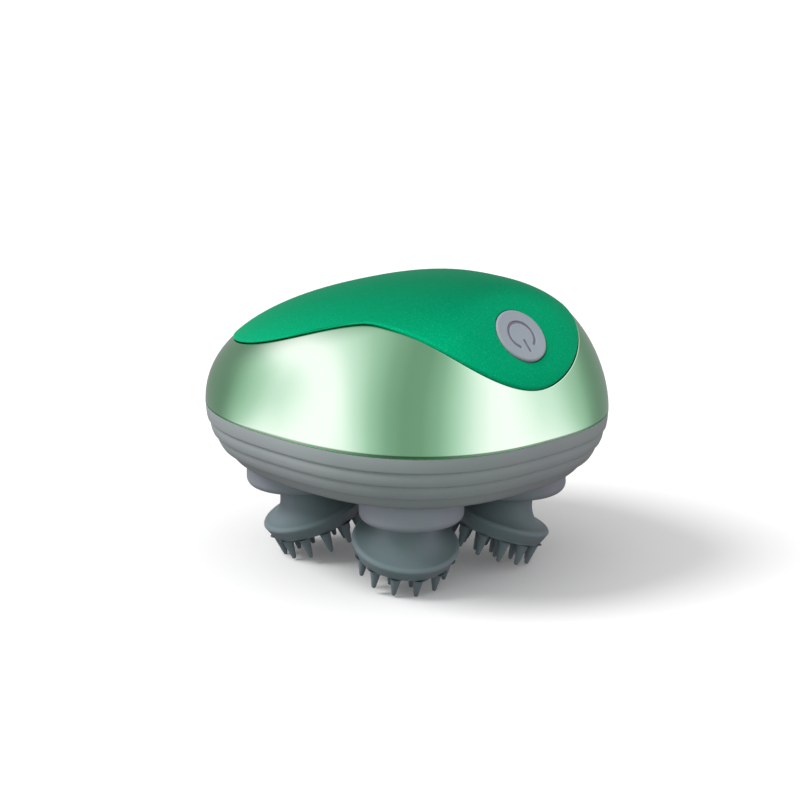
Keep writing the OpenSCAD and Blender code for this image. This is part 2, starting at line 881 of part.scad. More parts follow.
module battery_cradle() {
    wide = 2 * (battery_r + bearing_clear + cradle_wall);
    long = battery_l - 2 * cradle_short;
    color([0.30, 0.30, 0.32])
        difference() {
            translate([battery_x - wide / 2, -long / 2, plate_top_z]) cube([wide, long, cradle_h]);
            translate([battery_x, long, battery_z])
                rotate([90, 0, 0]) cylinder(h = 2 * long, r = battery_r + bearing_clear);
            translate(pillar_at[1]) {
                disc(notch_r, plate_top_z - bite, cradle_h + 2 * bite);
                translate([-wide, -notch_r, plate_top_z - bite]) cube([wide, 2 * notch_r, cradle_h + 2 * bite]);
            }
        }
}

module main_board() {
    color([0.10, 0.35, 0.20])
        translate([board_x - board_w / 2, -board_l / 2, board_z]) cube([board_w, board_l, board_t]);
}

// Parts on the main board: middle and size of each block, then middle, radius and height of each can
chip_w = 7;
coil_w = 5;
plug_w = 8;
plug_d = 5;
plug_h = 4;
plug_in = 3.5;
plug_y = board_l / 2 - plug_in;
can_x = 4;
can_y = -9;
can_r = 2;
can_h = 5;
chips = [
    [[0, 0], [chip_w, chip_w, chip_w / 7]],
    [[0, plug_w], [coil_w, plug_h, coil_w / 4]],
    [[0, -plug_y], [plug_w, plug_d, plug_h]],
    [[0, plug_y], [plug_w, plug_d, plug_h]]
];
cans = [[[can_x, can_y], can_r, can_h], [[-can_x, can_y], can_r * 1.2, can_h / 2]];

module board_parts() {
    color([0.12, 0.12, 0.13])
        translate([board_x, 0, board_z + board_t]) {
            for (c = chips)
                translate([c[0][0] - c[1][0] / 2, c[0][1] - c[1][1] / 2]) cube(c[1]);
            for (c = cans)
                translate(c[0]) cylinder(h = c[2], r = c[1]);
        }
}

contact_tail = 1.2;

module charge_contacts() {
    color([0.85, 0.70, 0.35])
        for (s = [-1, 1])
            translate([0, s * contact_pitch / 2])
                disc(contact_r, underside_z - pad_h, floor_t + pad_h + contact_tail);
}

// ---- Screws ----

module screw(shank_r, head_r, head_h, l) {
    difference() {
        union() {
            disc(head_r, -head_h, head_h);
            disc(shank_r, 0, l);
        }
        for (a = [0, 90])
            rotate([0, 0, a])
                translate([-head_r * slot_share, -slot_w / 2, -head_h - bite])
                    cube([2 * head_r * slot_share, slot_w, head_h / 2 + bite]);
    }
}

module housing_screws() {
    color([0.30, 0.30, 0.32])
        for (p = housing_screw_at)
            translate([p[0], p[1], screw_head_z]) screw(screw_r, screw_head_r, screw_head_h, screw_l);
}

module cover_plate_screws() {
    color([0.70, 0.70, 0.72])
        for (p = pillar_at)
            translate([p[0], p[1], plate_top_z])
                rotate([180, 0, 0]) screw(small_screw_r, small_head_r, small_head_h, small_screw_l);
}

base_housing();
top_shell();
top_cover();
seam_seal();
power_button();
button_spring();
switch_plunger();
tact_switch();
switch_board();
collar(1);  // collar_1
collar(2);  // collar_2
collar(3);  // collar_3
collar(4);  // collar_4
massage_head(1);  // massage_head_1
massage_head(2);  // massage_head_2
massage_head(3);  // massage_head_3
massage_head(4);  // massage_head_4
spindle(1);  // spindle_1
spindle(2);  // spindle_2
spindle(3);  // spindle_3
spindle(4);  // spindle_4
head_gear(1);  // head_gear_1
head_gear(2);  // head_gear_2
head_gear(3);  // head_gear_3
head_gear(4);  // head_gear_4
retaining_clip(1);  // retaining_clip_1
retaining_clip(2);  // retaining_clip_2
retaining_clip(3);  // retaining_clip_3
retaining_clip(4);  // retaining_clip_4
bushing(1);  // bushing_1
bushing(2);  // bushing_2
bushing(3);  // bushing_3
bushing(4);  // bushing_4
spindle_seal(1);  // spindle_seal_1
spindle_seal(2);  // spindle_seal_2
spindle_seal(3);  // spindle_seal_3
spindle_seal(4);  // spindle_seal_4
drive_gear();
drive_shaft();
gear_cover();
gearhead();
motor();
battery();
battery_cradle();
main_board();
board_parts();
charge_contacts();
housing_screws();
cover_plate_screws();
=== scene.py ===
"""Looks of the electric scalp massager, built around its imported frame.

Lengths are in millimetres here, as in the part's source, and become metres when a mesh is made.
"""
import json
import math

import bmesh
import bpy
import numpy as np
from mathutils import Matrix, Vector


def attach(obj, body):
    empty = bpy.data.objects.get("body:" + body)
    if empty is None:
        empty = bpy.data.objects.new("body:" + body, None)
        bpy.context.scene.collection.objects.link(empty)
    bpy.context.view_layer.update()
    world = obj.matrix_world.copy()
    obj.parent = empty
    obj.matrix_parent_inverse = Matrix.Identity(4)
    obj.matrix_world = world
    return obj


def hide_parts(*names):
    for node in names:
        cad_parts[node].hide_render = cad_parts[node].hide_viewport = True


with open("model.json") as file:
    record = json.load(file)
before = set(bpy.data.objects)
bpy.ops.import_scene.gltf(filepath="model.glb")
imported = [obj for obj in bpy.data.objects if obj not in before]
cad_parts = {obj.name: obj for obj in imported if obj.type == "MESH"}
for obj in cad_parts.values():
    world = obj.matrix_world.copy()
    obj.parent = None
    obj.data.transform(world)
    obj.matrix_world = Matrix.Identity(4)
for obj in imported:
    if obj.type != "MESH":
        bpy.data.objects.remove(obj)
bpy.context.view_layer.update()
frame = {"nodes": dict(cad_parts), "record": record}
MM = 0.001

# ---- Sizes of the part, as its source has them ----

BODY_L, BODY_W, PLAN_POWER = 103.6, 94.4, 2.55
UNDERSIDE, WIDEST, SEAM = 27.1534, 43.1534, 42.7534
BOWL_H, BOWL_FOOT = 16.0, 0.85
DOME_H, DOME_LEAN, LEAN_POWER = 36.4, 18.5, 2.75
BANDS, BAND_STEP, FOOT_ROUND = 4, 0.7, 1.2
COVER_T, COVER_PROUD = 1.4, 0.3
LOBE_L, LOBE_W, LOBE_POWER, LOBE_BACK = 30.2, 27.5, 1.9, 16.0
TAIL_X, TAIL_Z, TAIL_POWER = -51.8, 59.7534, 1.55
CREST_X, CREST_Z = 22.0074, 72.1575
EDGE_BLEND = 2.5
BUTTON_TILT = math.radians(48)
BUTTON_AT = np.array([41.5651, 0.0, 68.2372])
BUTTON_AXIS = np.array([math.sin(BUTTON_TILT), 0.0, math.cos(BUTTON_TILT)])
BUTTON_DOWN = np.array([math.cos(BUTTON_TILT), 0.0, -math.sin(BUTTON_TILT)])
FACET_BLEND, BUTTON_R, BUTTON_GAP, BUTTON_PROUD = 0.9, 7.5, 0.15, 0.5
SIGN_R = 3.9
HEAD_CIRCLE, HEAD_ANGLE, HEAD_TILT = 29.2, 41.0, math.radians(18.4)
HEAD_PHASE = math.radians(17)
PIVOT, RIM, SEAT, COLLAR_TOP, RECESS = 25.4534, 19.9534, 21.1534, 27.6534, 28.1534
HEAD_RUN, HEAD_EDGE_R, HEAD_SHOULDER_R, HEAD_BAND_H = 17.0, 12.7, 14.0, 3.2
SHOULDER_ROUND, NECK_R = 1.1, 7.0
FINGER_L, FINGER_ROOT_R, FINGER_TIP_R = 5.5, 1.6, 0.6
COLLAR_R, COLLAR_ROUND, COLLAR_CLEAR, POCKET_R = 13.5, 2.2, 0.5, 9.5
HEAD_TURNS = [
    math.radians(a) for a in (HEAD_ANGLE, 180 - HEAD_ANGLE, 180 + HEAD_ANGLE, -HEAD_ANGLE)
]
HEAD_PLACES = [(HEAD_CIRCLE * math.cos(a), HEAD_CIRCLE * math.sin(a)) for a in HEAD_TURNS]
PAD_R, PAD_H = 8.0, 0.6
SCREW_IN, SCREW_HOLE_R, SCREW_HOLE_H = 5.8, 2.575, 2.2
CONTACT_OUT, CONTACT_HOLE_R = 5.7, 1.5


# ---- Mesh making ----

def make(name, points, faces):
    mesh = bpy.data.meshes.new(name)
    mesh.from_pydata([tuple(p) for p in np.asarray(points) * MM], [], faces)
    mesh.validate()
    obj = bpy.data.objects.new(name, mesh)
    bpy.context.collection.objects.link(obj)
    bm = bmesh.new()
    bm.from_mesh(mesh)
    bmesh.ops.recalc_face_normals(bm, faces=bm.faces)
    bm.to_mesh(mesh)
    bm.free()
    return obj


def shade(obj, sharp=50):
    """Smooth shading, with edges left sharp from an angle in degrees."""
    obj.data.shade_smooth()
    obj.data.set_sharp_from_angle(angle=math.radians(sharp))
    return obj


def full_turn(columns):
    return np.linspace(0, 2 * math.pi, columns, endpoint=False)


def ring_faces(rows, columns, closed=False):
    """Quads between rows of columns points each; closed joins the last row to the first."""
    faces = []
    for j in range(rows if closed else rows - 1):
        low, high = j * columns, (j + 1) % rows * columns
        for k in range(columns):
            n = (k + 1) % columns
            faces.append((low + k, low + n, high + n, high + k))
    return faces


def capped_faces(rows, columns):
    """Quads between the rows, and one face over each end."""
    last = (rows - 1) * columns
    ends = [tuple(range(columns - 1, -1, -1)), tuple(range(last, last + columns))]
    return ring_faces(rows, columns) + ends


def lathe(profile, columns):
    """Points and faces of a profile of (radius, height) turned round Z; radius 0 is one point."""
    turn = full_turn(columns)
    points, faces, rows = [], [], []
    for r, z in profile:
        if r < 1e-6:
            rows.append([len(points)])
            points.append((0, 0, z))
        else:
            rows.append(range(len(points), len(points) + columns))
            points.extend((r * math.cos(a), r * math.sin(a), z) for a in turn)
    for low, high in zip(rows, rows[1:]):
        for k in range(columns):
            n = (k + 1) % columns
            if len(low) == 1:
                faces.append((low[0], high[n], high[k]))
            elif len(high) == 1:
                faces.append((low[k], low[n], high[0]))
            else:
                faces.append((low[k], low[n], high[n], high[k]))
    return points, faces


def arc(centre, radius, start, end, steps):
    """Profile points on an arc from start to end degrees."""
    angles = np.radians(np.linspace(start, end, steps + 1))
    return [(centre[0] + radius * math.cos(a), centre[1] + radius * math.sin(a)) for a in angles]


def fillet(radius, steps=6):
    """Steps over a rounded edge: how far in, and how far down, from its face to its wall."""
    angles = np.radians(np.linspace(90, 0, steps + 1))
    return [(radius * (1 - math.cos(a)), radius * (1 - math.sin(a))) for a in angles]


def placed(points, matrix):
    return [matrix @ Vector(p) for p in points]


# ---- Body surfaces ----

def plan(half_l, half_w, turn):
    """Body's outline seen from above, at plan angles."""
    c, s = np.cos(turn), np.sin(turn)
    x = half_l * np.sign(c) * np.abs(c) ** (2 / PLAN_POWER)
    y = half_w * np.sign(s) * np.abs(s) ** (2 / PLAN_POWER)
    return x, y


def bowl_share(z):
    """Share of the widest section that the bowl has at height z."""
    return np.sqrt(1 - (1 - BOWL_FOOT ** 2) * ((WIDEST - z) / BOWL_H) ** 2)


def bowl_ring(turn, z, inset):
    """Points round the bowl at height z, set in from its surface."""
    share = bowl_share(z)
    x, y = plan(BODY_L / 2 * share - inset, BODY_W / 2 * share - inset, turn)
    return np.stack([x, y, np.full(len(turn), z)], -1)


def lean(t):
    """How far the dome leans towards the button, at a share of its height."""
    return DOME_LEAN * np.maximum(t, 0) ** LEAN_POWER


def pressed(p, grow):
    """Flattened patch round the button, with a soft rim."""
    d = (p - BUTTON_AT) @ BUTTON_AXIS - grow
    return p - (FACET_BLEND * np.logaddexp(0, d / FACET_BLEND))[..., None] * BUTTON_AXIS


def dome_point(turn, rise, grow):
    """Point of the dome grown by grow, at a plan angle and an angle of rise from its foot."""
    t, c = np.sin(rise), np.cos(rise)
    x, y = plan((BODY_L / 2 + grow) * c, (BODY_W / 2 + grow) * c, turn)
    return pressed(np.stack([x + lean(t), y, WIDEST + (DOME_H + grow) * t], -1), grow)


def dome_cast(direction, grow, nearest=5.0, furthest=120.0, halvings=44):
    """Where lines from the body's middle meet the dome."""
    low = np.full(direction.shape[:-1], nearest)
    high = np.full(direction.shape[:-1], furthest)
    for _ in range(halvings):
        mid = (low + high) / 2
        p = direction * mid[..., None]
        t = p[..., 2] / (DOME_H + grow)
        c = np.sqrt(np.maximum(1 - t * t, 1e-12))
        x = np.abs(p[..., 0] - lean(t)) / ((BODY_L / 2 + grow) * c)
        y = np.abs(p[..., 1]) / ((BODY_W / 2 + grow) * c)
        out = (t >= 1) | (x ** PLAN_POWER + y ** PLAN_POWER > 1)
        high = np.where(out, mid, high)
        low = np.where(out, low, mid)
    return pressed(direction * low[..., None] + [0, 0, WIDEST], grow)


def within_edge(p):
    """How far a point lies inside the cover's edge: a wave up from the tail, and a round lobe."""
    q = p - BUTTON_AT
    along, across = q @ BUTTON_DOWN + LOBE_BACK, q[..., 1]
    powers = np.abs(along / LOBE_L) ** LOBE_POWER + np.abs(across / LOBE_W) ** LOBE_POWER
    share = powers ** (1 / LOBE_POWER)
    lobe = np.hypot(along, across) * (1 / np.maximum(share, 1e-6) - 1)
    u = np.clip((p[..., 0] - TAIL_X) / (CREST_X - TAIL_X), 0, 1)
    wave = p[..., 2] - TAIL_Z - (CREST_Z - TAIL_Z) * (1 - np.cos(math.pi * u ** TAIL_POWER)) / 2
    h = np.clip(0.5 + (lobe - wave) / EDGE_BLEND / 2, 0, 1)
    return wave + (lobe - wave) * h + EDGE_BLEND * h * (1 - h)


def off_button(p):
    """Distance of a point from the button's axis."""
    q = p - BUTTON_AT
    return np.hypot(q @ BUTTON_DOWN, q[..., 1])


def solve(value_at, low, high, halvings=40):
    """Where value_at turns from negative to positive between low and high."""
    for _ in range(halvings):
        mid = (low + high) / 2
        up = value_at(mid) > 0
        high = np.where(up, mid, high)
        low = np.where(up, low, mid)
    return (low + high) / 2


# ---- Top cover ----

def top_cover(columns=512, middle=110, under=16):
    """Cover skin, in rings round the button's hole: top, rounded edges and underside."""
    edge_round, hole_round = 0.6, 0.35
    by_angle = 0.8
    evenly, crowding = 0.35, 1.8
    hole_reach = 0.9
    to_button = BUTTON_AT - [0, 0, WIDEST]
    to_button = to_button / np.linalg.norm(to_button)
    front = np.array([to_button[2], 0, -to_button[0]])
    side = np.array([0, 1.0, 0])
    turn = full_turn(4 * columns)

    def point(reach, grow):
        """Point of the grown dome, at angles away from the button's direction."""
        spoke = np.cos(turn)[:, None] * front + np.sin(turn)[:, None] * side
        return dome_cast(np.cos(reach)[:, None] * to_button + np.sin(reach)[:, None] * spoke, grow)

    def to_level():
        """Angle from the button's direction down to the widest section."""
        return np.arctan2(to_button[2], to_button[0] * np.cos(turn))

    def hole(out, grow):
        start = BUTTON_R + BUTTON_GAP
        furthest = to_level() * hole_reach
        return solve(lambda a: off_button(point(a, grow)) - start - out, 0 * turn, furthest)

    def edge(inward, grow):
        return solve(lambda a: inward - within_edge(point(a, grow)), hole(1, grow), to_level())

    # the columns are spaced by length along the edge, and partly by angle
    rim = point(edge(edge_round, COVER_PROUD), COVER_PROUD)
    run = np.linalg.norm(np.roll(rim, -1, 0) - rim, axis=1)
    run = np.concatenate([[0], np.cumsum(run / run.sum() + by_angle / len(run))])
    stations = np.linspace(0, run[-1], columns, endpoint=False)
    turn = np.interp(stations, run, np.append(turn, 2 * math.pi))

    rows = [point(hole(0, -COVER_T), -COVER_T)]
    for i, d in reversed(fillet(hole_round)):
        rows.append(point(hole(i, COVER_PROUD - d), COVER_PROUD - d))
    start, end = hole(hole_round, COVER_PROUD), edge(edge_round, COVER_PROUD)
    for s in np.linspace(0, 1, middle + 1)[1:-1]:
        share = evenly * s + (1 - evenly) * s ** crowding
        rows.append(point(start + (end - start) * share, COVER_PROUD))
    for i, d in fillet(edge_round):
        rows.append(point(edge(i, COVER_PROUD - d), COVER_PROUD - d))
    under_edge, under_hole = edge(0, -COVER_T), hole(0, -COVER_T)
    for s in np.linspace(0, 1, under + 1)[:-1]:
        rows.append(point(under_edge + (under_hole - under_edge) * s, -COVER_T))
    return shade(make("cover_skin", np.concatenate(rows), ring_faces(len(rows), columns, True)))


# ---- Top shell ----

def top_shell(columns=512, middle=90, inner=14):
    """Shell skin: from the seam up to the cover, in under its edge, and down again inside."""
    gap, wall = 0.22, 2.6
    lap_in, seam_in, seam_round, rim_round = 1.2, 0.5, 0.25, 0.3
    rim_wall, ledge = -0.9, -COVER_T - 0.15
    ledge_middle, ledge_in = 1.0, 2.4
    steepest = math.radians(88)
    turn = full_turn(columns)

    def rise(inward, grow):
        """Angle of rise at which the dome lies inward of the cover's edge."""
        top = np.full(columns, steepest)

        def value_at(a):
            return within_edge(dome_point(turn, a, grow)) - inward

        return solve(value_at, np.zeros(columns), top)

    rows = [bowl_ring(turn, SEAM, i) for i in (lap_in, seam_in)]
    rows += [bowl_ring(turn, SEAM + d, i) for i, d in reversed(fillet(seam_round))]
    end = rise(-gap - rim_round, 0)
    rows += [dome_point(turn, end * s, 0) for s in np.linspace(0, 1, middle)[1:-1]]
    rows += [dome_point(turn, rise(-gap - i, -d), -d) for i, d in fillet(rim_round)]
    rows += [dome_point(turn, rise(-gap, g), g) for g in (rim_wall, ledge)]
    rows += [dome_point(turn, rise(i, ledge), ledge) for i in (ledge_middle, ledge_in)]
    back = rise(ledge_in, -wall)
    rows += [dome_point(turn, back * s, -wall) for s in np.linspace(1, 0, inner)]
    rows.append(bowl_ring(turn, SEAM, wall))
    return shade(make("shell_skin", np.concatenate(rows), ring_faces(len(rows), columns, True)))


# ---- Base ----

def base_outline():
    """Outline of the base as (height, inset), from the foot up to the seam and down inside."""
    lip, nose, groove, seam_round = 0.12, 0.3, 0.16, 0.25
    bulge_power = 2.2
    lap_top_in, lap_foot_in, lap_h = 1.2, 1.25, 2.0
    wall_in, wall_top, floor_t = 2.7, 2.2, 2.4
    band_h = (SEAM - UNDERSIDE) / BANDS
    outline = []
    for a in np.radians(np.linspace(0, 90, 9)):
        z = UNDERSIDE + FOOT_ROUND * (1 - math.cos(a))
        outline.append((z, BAND_STEP + FOOT_ROUND * (1 - math.sin(a))))
    for j in range(BANDS):
        low, high = UNDERSIDE + j * band_h, UNDERSIDE + (j + 1) * band_h
        top_band = j == BANDS - 1
        if j:
            for a in np.radians(np.linspace(0, 90, 7)):
                z = low - lip + nose * (1 - math.cos(a))
                outline.append((z, BAND_STEP * (1 - math.sin(a))))
        start = outline[-1][0]
        bulge = lip if top_band else BAND_STEP
        stop = SEAM - seam_round if top_band else high - groove
        for s in np.linspace(0, 1, 11)[1:]:
            inset = bulge * s ** bulge_power if j else BAND_STEP
            outline.append((start + (stop - start) * s, inset))
    for i, d in reversed(fillet(seam_round)):
        outline.append((SEAM - d, lip + i))
    outline += [(SEAM, lap_top_in), (SEAM - lap_h, lap_foot_in)]
    outline += [(SEAM - wall_top, wall_in), (UNDERSIDE + floor_t, wall_in)]
    return outline


def base(columns=384, tool_columns=96):
    turn = full_turn(columns)
    rows = [bowl_ring(turn, z, i) for z, i in base_outline()]
    obj = make("base_skin", np.concatenate(rows), capped_faces(len(rows), columns))

    def cut(operation, r, low, high, at):
        """Add or take away an upright cylinder."""
        points, sides = lathe([(0, low), (r, low), (r, high), (0, high)], tool_columns)
        tool = make("tool", [(p[0] + at[0], p[1] + at[1], p[2]) for p in points], sides)
        mod = obj.modifiers.new("cut", "BOOLEAN")
        mod.operation, mod.object, mod.solver = operation, tool, "EXACT"
        depsgraph = bpy.context.evaluated_depsgraph_get()
        new = bpy.data.meshes.new_from_object(obj.evaluated_get(depsgraph))
        obj.modifiers.clear()
        obj.data = new
        bpy.data.objects.remove(tool)

    below, inside = UNDERSIDE - 2, UNDERSIDE + 1
    cut("UNION", PAD_R, UNDERSIDE - PAD_H, inside, (0, 0))
    for at in HEAD_PLACES:
        cut("DIFFERENCE", COLLAR_R + COLLAR_CLEAR, below, RECESS, at)
    reach_x, reach_y = BODY_L / 2 * BOWL_FOOT - SCREW_IN, BODY_W / 2 * BOWL_FOOT - SCREW_IN
    for at in ((reach_x, 0), (-reach_x, 0), (0, reach_y), (0, -reach_y)):
        cut("DIFFERENCE", SCREW_HOLE_R, below, UNDERSIDE + SCREW_HOLE_H, at)
    for y in (-CONTACT_OUT, CONTACT_OUT):
        cut("DIFFERENCE", CONTACT_HOLE_R, below, inside, (0, y))
    return shade(obj, 38)


# ---- Button ----

def sign_depth(x, y):
    """Depth share of the power sign's groove, a broken ring and a bar, at places on the face."""
    gap, bar_start, bar_end = math.radians(38), 0.42, 1.2
    half_stroke, slope = 0.44, 0.14
    r, a = np.hypot(x, y), np.abs(np.arctan2(y, x))
    ends = np.hypot(x - SIGN_R * math.cos(gap), np.abs(y) - SIGN_R * math.sin(gap))
    ring = np.where(a < gap, ends, np.abs(r - SIGN_R))
    bar = np.hypot(x - np.clip(x, SIGN_R * bar_start, SIGN_R * bar_end), y)
    return np.clip((half_stroke - np.minimum(ring, bar)) / slope, 0, 1)


def power_button(columns=360, rings=120):
    """Button cap with its flange and stem; the sign's faces have material index 1."""
    edge_round, dished, sign_h, groove_share = 0.5, 0.10, 0.3, 0.6
    flange_w, flange_top, flange_foot = 1.2, -2.0, -3.1
    stem_r, stem_end = 1.8, -4.55
    face_r = BUTTON_R - edge_round
    turn = full_turn(columns)
    rows, depth = [], []
    for r in np.linspace(0.05, face_r, rings):
        x, y = r * np.cos(turn), r * np.sin(turn)
        g = sign_depth(x, y)
        dish = -dished * (1 - (r / face_r) ** 2)
        rows.append(np.stack([x, y, BUTTON_PROUD + dish - sign_h * g], -1))
        depth.append(g)
    outline = arc((face_r, BUTTON_PROUD - edge_round), edge_round, 90, 0, 8)[1:]
    outline += [(BUTTON_R, flange_top), (BUTTON_R + flange_w, flange_top)]
    outline += [(BUTTON_R + flange_w, flange_foot), (stem_r, flange_foot), (stem_r, stem_end)]
    for r, z in outline:
        rows.append(np.stack([r * np.cos(turn), r * np.sin(turn), np.full(columns, z)], -1))
        depth.append(np.zeros(columns))
    to_part = np.stack([BUTTON_DOWN, [0, 1, 0], BUTTON_AXIS])
    points = np.concatenate(rows) @ to_part + BUTTON_AT
    obj = shade(make("button_cap", points, capped_faces(len(rows), columns)))
    depth = np.concatenate(depth)
    for poly in obj.data.polygons:
        # faces deep in the sign's groove take the darker sign grey
        if len(poly.vertices) == 4 and depth[list(poly.vertices)].mean() > groove_share:
            poly.material_index = 1
    return obj


# ---- Turning heads ----

def collar(i):
    top_round, mouth_round, mouth_flat, pocket_h = 0.4, 0.3, 1.6, 1.2
    low = COLLAR_ROUND
    profile = [(0, COLLAR_TOP), (COLLAR_R - top_round, COLLAR_TOP)]
    profile += arc((COLLAR_R - top_round, COLLAR_TOP - top_round), top_round, 90, 0, 5)
    profile += [(COLLAR_R, COLLAR_TOP - 2), (COLLAR_R, RIM + low + 1)]
    profile += arc((COLLAR_R - low, RIM + low), low, 0, -90, 16)
    profile += [(POCKET_R + mouth_flat, RIM)]
    profile += arc((POCKET_R + mouth_round, RIM + mouth_round), mouth_round, -90, -180, 5)
    profile += [(POCKET_R, RIM + pocket_h), (0, RIM + pocket_h)]
    points, faces = lathe(profile, 160)
    at = Matrix.Translation((*HEAD_PLACES[i - 1], 0))
    return shade(make("collar_skin_%d" % i, placed(points, at), faces))


def finger(columns=28):
    """One finger below the face, with a flared root and a round tip."""
    flare, flare_in, skin = 0.62, 0.1, 0.02
    foot_out, foot_sunk = 0.75, 0.12
    profile = [(FINGER_ROOT_R + foot_out, foot_sunk), (FINGER_ROOT_R + flare, -skin)]
    rounding = np.radians(np.linspace(15, 90, 6))
    for a in rounding:
        r = FINGER_ROOT_R - flare_in + flare * (1 - math.sin(a))
        profile.append((r, -flare * (1 - math.cos(a)) - skin))
    slope = (FINGER_ROOT_R - FINGER_TIP_R) / FINGER_L
    for s in np.linspace(0.15, 1, 7):
        profile.append((FINGER_ROOT_R - slope * FINGER_L * s, -FINGER_L * s))
    for a in rounding:
        profile.append((FINGER_TIP_R * math.cos(a), -FINGER_L - FINGER_TIP_R * math.sin(a)))
    profile[-1] = (0, profile[-1][1])
    return lathe(profile, columns)


def head_profile():
    """Profile of a head without fingers, from its face up to the pivot."""
    edge_round, neck_h, neck_lip = 0.22, 4.3, 0.8
    shoulder = -HEAD_RUN + HEAD_BAND_H
    trumpet_r = HEAD_SHOULDER_R - SHOULDER_ROUND
    trumpet_h = -shoulder - SHOULDER_ROUND - neck_h - neck_lip
    profile = [(0, -HEAD_RUN), (HEAD_EDGE_R - 3, -HEAD_RUN), (HEAD_EDGE_R - 0.5, -HEAD_RUN)]
    profile += arc((HEAD_EDGE_R - edge_round, -HEAD_RUN + edge_round), edge_round, -90, 22, 6)
    for s in (0.25, 0.5, 0.75):
        r = HEAD_EDGE_R + (HEAD_SHOULDER_R - HEAD_EDGE_R) * s
        profile.append((r, -HEAD_RUN + HEAD_BAND_H * s))
    profile += arc((trumpet_r, shoulder), SHOULDER_ROUND, 0, 90, 12)
    for a in np.radians(np.linspace(4, 90, 22)):
        z = shoulder + SHOULDER_ROUND + trumpet_h * (1 - math.cos(a))
        profile.append((trumpet_r - (trumpet_r - NECK_R) * math.sin(a), z))
    return profile + [(NECK_R, -1.0), (NECK_R, 0), (0, 0)]


def massage_head(i):
    """Tilted head with three rings of fingers, cut level where it sits in its collar."""
    finger_counts, ring_step = (12, 8, 4), 4.0
    at = (
        Matrix.Translation((*HEAD_PLACES[i - 1], 0))
        @ Matrix.Rotation(HEAD_TURNS[i - 1] + HEAD_PHASE, 4, "Z")
        @ Matrix.Translation((0, 0, PIVOT))
        @ Matrix.Rotation(HEAD_TILT, 4, "Y")
    )
    points, faces = lathe(head_profile(), 192)
    points = placed(points, at)
    one, one_faces = finger()
    for ring, count in enumerate(finger_counts):
        out = Matrix.Translation((HEAD_EDGE_R - FINGER_ROOT_R - ring * ring_step, 0, -HEAD_RUN))
        for k in range(count):
            start = len(points)
            points += placed(one, at @ (Matrix.Rotation(2 * math.pi * k / count, 4, "Z") @ out))
            faces += [tuple(start + v for v in f) for f in one_faces]
    obj = make("head_skin_%d" % i, points, faces)
    bm = bmesh.new()
    bm.from_mesh(obj.data)
    everything = bm.verts[:] + bm.edges[:] + bm.faces[:]
    cut = bmesh.ops.bisect_plane(
        bm, geom=everything, plane_co=(0, 0, SEAT * MM), plane_no=(0, 0, 1), clear_outer=True
    )
    rim = [e for e in cut["geom_cut"] if isinstance(e, bmesh.types.BMEdge)]
    bmesh.ops.edgenet_fill(bm, edges=rim)
    bmesh.ops.recalc_face_normals(bm, faces=bm.faces)
    bm.to_mesh(obj.data)
    bm.free()
    return shade(obj)


# ---- Shader nodes ----

def feed(tree, socket, value):
    """Link a node's output to a socket, or give the socket a plain value."""
    if isinstance(value, bpy.types.NodeSocket):
        tree.links.new(value, socket)
    else:
        socket.default_value = value


def math_node(tree, operation, one, two=0):
    node = tree.nodes.new("ShaderNodeMath")
    node.operation = operation
    for socket, value in zip(node.inputs, (one, two)):
        feed(tree, socket, value)
    return node.outputs[0]


def map_range(tree, value, start, end, smooth=False):
    """Map a value from the range start to the range end."""
    node = tree.nodes.new("ShaderNodeMapRange")
    if smooth:
        node.interpolation_type = "SMOOTHSTEP"
    feed(tree, node.inputs["Value"], value)
    for name, number in zip(("From Min", "From Max", "To Min", "To Max"), (*start, *end)):
        feed(tree, node.inputs[name], number)
    return node.outputs["Result"]


def ramp(tree, value, stops):
    node = tree.nodes.new("ShaderNodeValToRGB")
    feed(tree, node.inputs["Fac"], value)
    elements = node.color_ramp.elements
    while len(elements) < len(stops):
        elements.new(0.5)
    for element, (position, colour) in zip(elements, stops):
        element.position = position
        element.color = (*colour, 1)
    return node.outputs["Color"]


def mix_colour(tree, factor, first, second, blend="MIX"):
    """Mix node for colours; 0, 6 and 7 are its sockets for them, and 2 is its colour output."""
    node = tree.nodes.new("ShaderNodeMix")
    node.data_type, node.blend_type = "RGBA", blend
    for index, value in ((0, factor), (6, first), (7, second)):
        feed(tree, node.inputs[index], value)
    return node.outputs[2]


def mix_shader(tree, factor, first, second):
    node = tree.nodes.new("ShaderNodeMixShader")
    for socket, source in zip(node.inputs, (factor, first, second)):
        feed(tree, socket, source)
    return node.outputs[0]


def diffuse(tree, level):
    node = tree.nodes.new("ShaderNodeBsdfDiffuse")
    node.inputs["Color"].default_value = (level, level, level, 1)
    return node.outputs[0]


def background(tree, colour, strength=1.0):
    node = tree.nodes.new("ShaderNodeBackground")
    feed(tree, node.inputs["Color"], colour)
    feed(tree, node.inputs["Strength"], strength)
    return node.outputs[0]


def separate(tree, vector):
    """X, Y and Z outputs of a vector."""
    node = tree.nodes.new("ShaderNodeSeparateXYZ")
    feed(tree, node.inputs["Vector"], vector)
    return node.outputs


def noise(tree, scale, detail=4.0, rough=0.55):
    coord = tree.nodes.new("ShaderNodeTexCoord")
    tex = tree.nodes.new("ShaderNodeTexNoise")
    feed(tree, tex.inputs["Vector"], coord.outputs["Object"])
    for name, value in (("Scale", scale), ("Detail", detail), ("Roughness", rough)):
        feed(tree, tex.inputs[name], value)
    return tex.outputs["Fac"]


# ---- Materials ----

def material(name, colour, rough, metallic=0.0, **inputs):
    mat = bpy.data.materials.new(name)
    mat.use_nodes = True
    bsdf = mat.node_tree.nodes["Principled BSDF"]
    bsdf.inputs["Base Color"].default_value = (*colour, 1)
    bsdf.inputs["Roughness"].default_value = rough
    bsdf.inputs["Metallic"].default_value = metallic
    for key, value in inputs.items():
        bsdf.inputs[key.replace("_", " ")].default_value = value
    return mat


